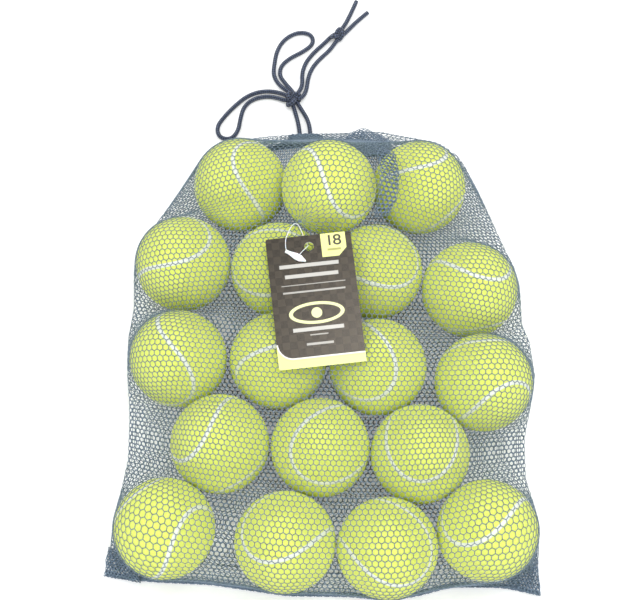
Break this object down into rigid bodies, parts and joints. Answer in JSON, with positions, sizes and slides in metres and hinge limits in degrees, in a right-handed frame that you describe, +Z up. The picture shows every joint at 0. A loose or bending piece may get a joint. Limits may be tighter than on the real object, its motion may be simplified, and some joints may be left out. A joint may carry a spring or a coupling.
{
  "type": "drawstring mesh bag of tennis balls",
  "caption": "Flat-lying drawstring netting bag holding one layer of felt tennis balls, with a bow-tied cord at its mouth and a folded card tag on a loop pin.",
  "frame": {"origin": "middle of the bag's footprint, without the free drawstring, on the surface that it lies on", "axes": "+Z up off that surface, +Y along the bag from its bottom seam to its mouth, +X to the right as seen from above"},
  "size_m": [0.294, 0.4699, 0.0888],
  "materials": {
    "netting": "satin",
    "hem": "matte",
    "cord": "satin",
    "felt": "matte",
    "rubber": "matte",
    "card_front": "satin",
    "card_back": "satin",
    "nylon": "satin"
  },
  "bodies": {
    "bag": {"netting_front": "netting", "netting_back": "netting", "mouth_gather": "netting", "mouth_ruffle": "netting", "mouth_hem": "hem", "bottom_seam": "hem", "drawstring_neck_left": "cord", "drawstring_neck_right": "cord", "drawstring_loop_left": "cord", "drawstring_loop_upper": "cord", "drawstring_tail_left": "cord", "drawstring_tail_right": "cord", "drawstring_end_left": "cord", "drawstring_end_right": "cord", "drawstring_bow_knot": "cord", "drawstring_end_knot": "cord"},
    "ball_01": {"ball_01_core": "rubber", "ball_01_cover": "felt"},
    "ball_02": {"ball_02_core": "rubber", "ball_02_cover": "felt"},
    "ball_03": {"ball_03_core": "rubber", "ball_03_cover": "felt"},
    "ball_04": {"ball_04_core": "rubber", "ball_04_cover": "felt"},
    "ball_05": {"ball_05_core": "rubber", "ball_05_cover": "felt"},
    "ball_06": {"ball_06_core": "rubber", "ball_06_cover": "felt"},
    "ball_07": {"ball_07_core": "rubber", "ball_07_cover": "felt"},
    "ball_08": {"ball_08_core": "rubber", "ball_08_cover": "felt"},
    "ball_09": {"ball_09_core": "rubber", "ball_09_cover": "felt"},
    "ball_10": {"ball_10_core": "rubber", "ball_10_cover": "felt"},
    "ball_11": {"ball_11_core": "rubber", "ball_11_cover": "felt"},
    "ball_12": {"ball_12_core": "rubber", "ball_12_cover": "felt"},
    "ball_13": {"ball_13_core": "rubber", "ball_13_cover": "felt"},
    "ball_14": {"ball_14_core": "rubber", "ball_14_cover": "felt"},
    "ball_15": {"ball_15_core": "rubber", "ball_15_cover": "felt"},
    "ball_16": {"ball_16_core": "rubber", "ball_16_cover": "felt"},
    "ball_17": {"ball_17_core": "rubber", "ball_17_cover": "felt"},
    "ball_18": {"ball_18_core": "rubber", "ball_18_cover": "felt"},
    "tag_pin": {"tag_pin_thread": "nylon", "tag_pin_lock": "nylon"},
    "tag": {"tag_front_leaf": "card_front", "tag_back_leaf": "card_back"}
  },
  "joints": [
    {"name": "ball_01_roll", "type": "hinge", "parent": "bag", "child": "ball_01", "pos_m": [-0.059, 0.118, 0.0344], "axis": [0, 0, 1], "continuous": true},
    {"name": "ball_02_roll", "type": "hinge", "parent": "bag", "child": "ball_02", "pos_m": [0.0045, 0.107, 0.0544], "axis": [0, 0, 1], "continuous": true},
    {"name": "ball_03_roll", "type": "hinge", "parent": "bag", "child": "ball_03", "pos_m": [0.0695, 0.116, 0.0344], "axis": [0, 0, 1], "continuous": true},
    {"name": "ball_04_roll", "type": "hinge", "parent": "bag", "child": "ball_04", "pos_m": [-0.098, 0.057, 0.0344], "axis": [0, 0, 1], "continuous": true},
    {"name": "ball_05_roll", "type": "hinge", "parent": "bag", "child": "ball_05", "pos_m": [-0.031, 0.0525, 0.0344], "axis": [0, 0, 1], "continuous": true},
    {"name": "ball_06_roll", "type": "hinge", "parent": "bag", "child": "ball_06", "pos_m": [0.037, 0.051, 0.0344], "axis": [0, 0, 1], "continuous": true},
    {"name": "ball_07_roll", "type": "hinge", "parent": "bag", "child": "ball_07", "pos_m": [0.103, 0.0375, 0.0344], "axis": [0, 0, 1], "continuous": true},
    {"name": "ball_08_roll", "type": "hinge", "parent": "bag", "child": "ball_08", "pos_m": [-0.099, -0.013, 0.0344], "axis": [0, 0, 1], "continuous": true},
    {"name": "ball_09_roll", "type": "hinge", "parent": "bag", "child": "ball_09", "pos_m": [-0.0305, -0.0145, 0.0344], "axis": [0, 0, 1], "continuous": true},
    {"name": "ball_10_roll", "type": "hinge", "parent": "bag", "child": "ball_10", "pos_m": [0.038, -0.019, 0.0344], "axis": [0, 0, 1], "continuous": true},
    {"name": "ball_11_roll", "type": "hinge", "parent": "bag", "child": "ball_11", "pos_m": [0.11, -0.03, 0.0344], "axis": [0, 0, 1], "continuous": true},
    {"name": "ball_12_roll", "type": "hinge", "parent": "bag", "child": "ball_12", "pos_m": [-0.069, -0.073, 0.0344], "axis": [0, 0, 1], "continuous": true},
    {"name": "ball_13_roll", "type": "hinge", "parent": "bag", "child": "ball_13", "pos_m": [-0.0015, -0.0755, 0.0344], "axis": [0, 0, 1], "continuous": true},
    {"name": "ball_14_roll", "type": "hinge", "parent": "bag", "child": "ball_14", "pos_m": [0.0655, -0.08, 0.0344], "axis": [0, 0, 1], "continuous": true},
    {"name": "ball_15_roll", "type": "hinge", "parent": "bag", "child": "ball_15", "pos_m": [-0.104, -0.13, 0.0344], "axis": [0, 0, 1], "continuous": true},
    {"name": "ball_16_roll", "type": "hinge", "parent": "bag", "child": "ball_16", "pos_m": [-0.0245, -0.139, 0.0344], "axis": [0, 0, 1], "continuous": true},
    {"name": "ball_17_roll", "type": "hinge", "parent": "bag", "child": "ball_17", "pos_m": [0.0425, -0.143, 0.0344], "axis": [0, 0, 1], "continuous": true},
    {"name": "ball_18_roll", "type": "hinge", "parent": "bag", "child": "ball_18", "pos_m": [0.1085, -0.1315, 0.0344], "axis": [0, 0, 1], "continuous": true},
    {"name": "tag_flip", "type": "hinge", "parent": "bag", "child": "tag_pin", "pos_m": [-0.01777, 0.07168, 0.07737], "axis": [-0.9936, -0.1132, 0], "range_deg": [0, 100]},
    {"name": "tag_swivel", "type": "hinge", "parent": "tag_pin", "child": "tag", "pos_m": [-0.009, 0.05296, 0.0765], "axis": [0.0079, -0.0693, 0.9976], "range_deg": [-15, 15]}
  ]
}
